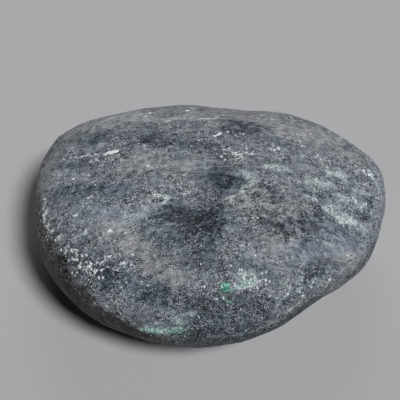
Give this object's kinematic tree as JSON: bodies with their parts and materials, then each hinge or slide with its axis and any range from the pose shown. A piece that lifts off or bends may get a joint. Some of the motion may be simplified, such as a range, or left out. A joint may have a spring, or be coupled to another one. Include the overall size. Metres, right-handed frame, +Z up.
{
  "type": "jadeite boulder",
  "caption": "Flattish water-worn jadeite boulder with a pitted plateau, a hollow beside it and a small worn flat to rest on.",
  "frame": {"origin": "on the ground plane, under the middle of the stone's bounding box", "axes": "+Z up from the resting flat, +X along the length towards the blunt right end, -Y towards the front"},
  "size_m": [0.19, 0.147, 0.063],
  "materials": {
    "jadeite_rind": "matte"
  },
  "bodies": {
    "root": {"boulder": "jadeite_rind"}
  },
  "joints": []
}
